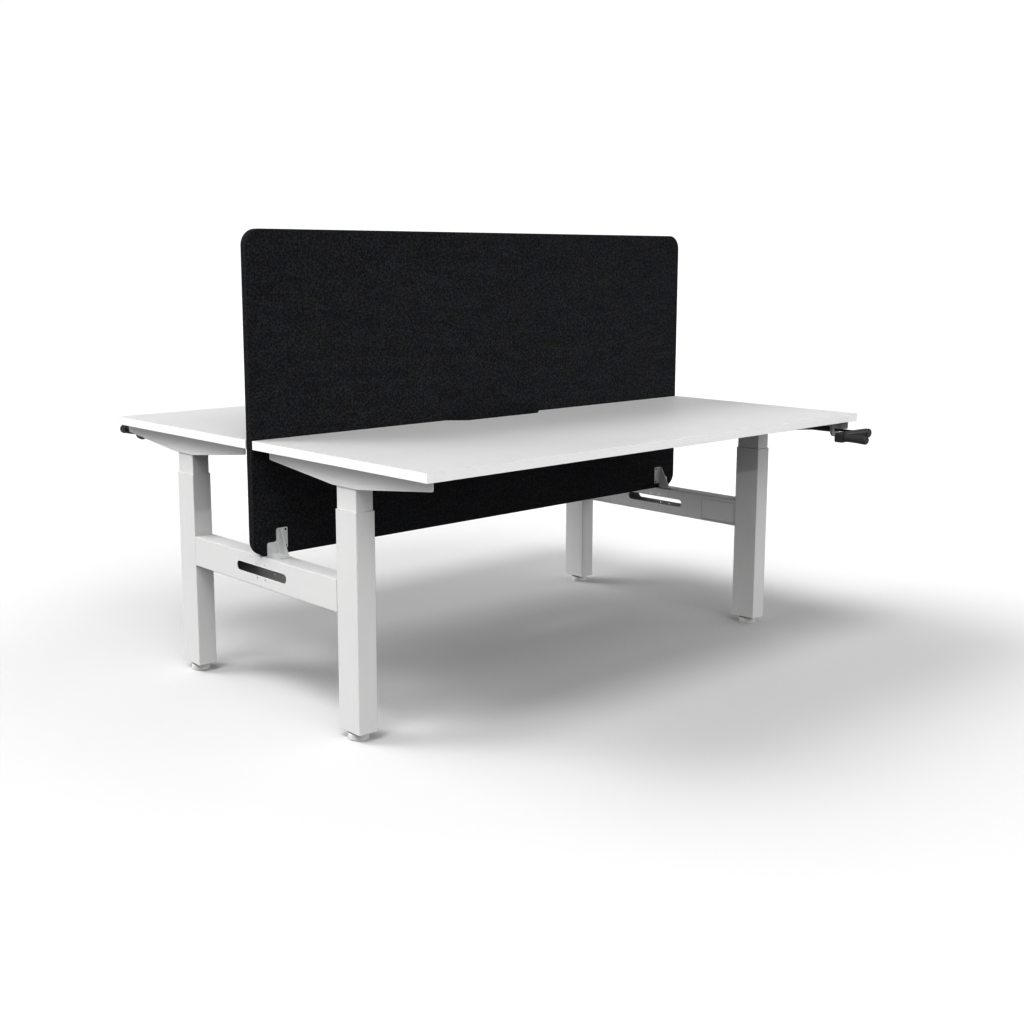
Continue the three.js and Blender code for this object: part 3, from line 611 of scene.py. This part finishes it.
for desk, turn, left, right in DESKS:
    body = desk + "_desk"
    worktop(desk, turn)
    for side in ("left", "right"):
        n = f"{desk}_{side}_support_arm"
        piece(f"{desk}_{side}_arm_channel", from_node(n, 0.5, 2, special=arm_edge), POWDER, body, [n], scale=1.0)
        n = f"{desk}_{side}_gearbox"
        piece(f"{desk}_{side}_bevel_housing", from_node(n, 1.2, 3), CAST, body, [n], scale=1.0)
    for rail in ("outer", "inner"):
        n = f"{desk}_{rail}_rail"
        piece(f"{desk}_{rail}_rail_tube", from_node(n, 1.2, 3), POWDER, body, [n], scale=1.0)
    bm = bmesh.new()
    for sx in (-1, 1):
        for y in (-655.0, -520.0, -290.0, -120.0):         # pan heads that hold the arms to the board
            screw_head(bm, lambda a, b, h: Vector((sx * 823 + a, y + b, 726.7 - h)), 5.2, 2.8, 2.1)
    piece(desk + "_board_screws", bm, STEEL, body, turn=turn)
    n = desk + "_crank_bearing_plate"
    piece(desk + "_bearing_bracket", from_node(n, 0.8, 2), GREY, body, [n], scale=1.0)
    crank_pieces(desk, turn)


# ------------------------------------------------------------------ floor, light and camera
def floor():
    me = bpy.data.meshes.new("floor")
    s = 60.0
    me.from_pydata([(-s, -s, 0), (s, -s, 0), (s, s, 0), (-s, s, 0)], [], [(0, 1, 2, 3)])
    ob = bpy.data.objects.new("floor", me)
    bpy.context.scene.collection.objects.link(ob)
    m, nt, b = material("floor_paint", (0.635, 0.635, 0.635), 0.9)
    reach = nt.nodes.new("ShaderNodeVectorMath")
    reach.operation = "LENGTH"
    nt.links.new(coords(nt), reach.inputs[0])
    painted_floor_light = remap(nt, reach.outputs["Value"], 1.4, 2.8, 0.0, 1.0)       # painted light and shade: the floor is painted darker near the object and lighter away from it, so it runs out to plain white round the object and its shadow fades sooner
    nt.links.new(ramp(nt, painted_floor_light, [(0.0, (0.640, 0.640, 0.640)), (1.0, (0.700, 0.700, 0.700))]), b.inputs["Base Color"])
    b.inputs["Specular IOR Level"].default_value = 0.1
    me.materials.append(m)
    ob.visible_diffuse = False          # the bounce from below comes from the studio instead


def backdrop():
    """A white cove all round, seen by the camera only, so every side has the same plain background."""
    bm = bmesh.new()
    bmesh.ops.create_uvsphere(bm, u_segments=64, v_segments=32, radius=58.0)
    me = bpy.data.meshes.new("backdrop")
    bm.to_mesh(me)
    bm.free()
    ob = bpy.data.objects.new("backdrop", me)
    bpy.context.scene.collection.objects.link(ob)
    m, nt, b = material("backdrop_paint", (0.0, 0.0, 0.0), 1.0)
    b.inputs["Specular IOR Level"].default_value = 0.0
    b.inputs["Emission Color"].default_value = (1, 1, 1, 1)
    b.inputs["Emission Strength"].default_value = 1.03
    m.cycles.emission_sampling = "NONE"
    me.materials.append(m)
    ob.visible_diffuse = ob.visible_glossy = ob.visible_transmission = ob.visible_shadow = False


def toward(azimuth, elevation):
    """Unit vector to a place in the studio: azimuth 0 is the front, 90 the right."""
    a, e = math.radians(azimuth), math.radians(elevation)
    return Vector((math.sin(a) * math.cos(e), -math.cos(a) * math.cos(e), math.sin(e)))


def lamp(name, kind, azimuth, elevation, energy, mirrored=False, **more):
    d = bpy.data.lights.new(name, kind)
    d.energy = energy
    for k, v in more.items():
        if k != "distance":
            setattr(d, k, v)
    ob = bpy.data.objects.new(name, d)
    bpy.context.scene.collection.objects.link(ob)
    v = toward(azimuth, elevation)
    ob.location = v * more.get("distance", 4.0) + Vector((0, 0, 0.5))
    ob.rotation_euler = v.to_track_quat("Z", "Y").to_euler()
    ob.visible_glossy = mirrored        # most lamps leave no disc in the gloss paint
    return ob


def studio(backdrop, below):
    """White wall behind the object and an even, dim bounce from below."""
    w = bpy.data.worlds.new("studio")
    bpy.context.scene.world = w
    w.use_nodes = True
    nt = w.node_tree
    bg = nt.nodes["Background"]
    bg.inputs["Color"].default_value = (1, 1, 1, 1)
    tc = nt.nodes.new("ShaderNodeTexCoord")

    def facing(direction):
        d = nt.nodes.new("ShaderNodeVectorMath")
        d.operation = "DOT_PRODUCT"
        d.inputs[1].default_value = direction
        nt.links.new(tc.outputs["Generated"], d.inputs[0])
        return d.outputs["Value"]

    def calc(op, a, b):
        n = nt.nodes.new("ShaderNodeMath")
        n.operation = op
        for k, v in ((0, a), (1, b)):
            if isinstance(v, (int, float)):
                n.inputs[k].default_value = v
            else:
                nt.links.new(v, n.inputs[k])
        return n.outputs[0]

    mr = nt.nodes.new("ShaderNodeMapRange")
    mr.interpolation_type = "SMOOTHSTEP"
    mr.inputs["From Min"].default_value = math.cos(math.radians(31))
    mr.inputs["From Max"].default_value = math.cos(math.radians(26))
    mr.inputs["To Max"].default_value = backdrop
    nt.links.new(facing(toward(138, 0)), mr.inputs["Value"])
    under = calc("LESS_THAN", facing((0.0, 0.0, 1.0)), 0.0)
    total = calc("MAXIMUM", mr.outputs["Result"], calc("MULTIPLY", under, below))
    nt.links.new(total, bg.inputs["Strength"])


floor()
backdrop()
studio(1.03, 0.293)
SOFT, HALF, BROAD = math.radians(24), math.radians(50), math.radians(80)
lamp("key_back_left", "SUN", 225, 45, 0.349 * math.pi, angle=SOFT)
lamp("bank_back_left", "SUN", 225, 20, 0.514 * math.pi, angle=BROAD)
lamp("key_left", "SUN", 290, 62, 0.485 * math.pi, True, angle=SOFT)
lamp("fill_front_left", "SUN", 340, 35, 0.486 * math.pi, True, angle=HALF)
lamp("bank_front_right", "SUN", 45, 20, 0.372 * math.pi, angle=BROAD)
lamp("bank_right", "SUN", 90, 45, 0.153 * math.pi, angle=BROAD)
lamp("bank_back", "SUN", 200, 35, 0.276 * math.pi, angle=HALF)

cam = bpy.data.cameras.new("camera")
cam.sensor_width = 36.0
cam.lens = 1305.575 * 36.0 / 1024.0
cam.shift_x = (512.0 - 479.356) / 1024.0
cam.shift_y = (475.191 - 512.0) / 1024.0
cam.clip_start, cam.clip_end = 0.05, 300.0
cam_ob = bpy.data.objects.new("camera", cam)
bpy.context.scene.collection.objects.link(cam_ob)
fwd = Vector((0.6602, 0.7335, -0.1614)).normalized()
right = Vector((0.7431, -0.6691, -0.0011)).normalized()
up = right.cross(fwd).normalized()
right = fwd.cross(up).normalized()
rot = Matrix((right, up, -fwd)).transposed()
cam_ob.matrix_world = Matrix.Translation((-2.8029, -3.0599, 1.2380)) @ rot.to_4x4()
bpy.context.scene.camera = cam_ob

bpy.context.scene.view_settings.view_transform = "Standard"
bpy.context.scene.view_settings.look = "None"
bpy.context.scene.view_settings.gamma = 1 / 1.4             # print contrast
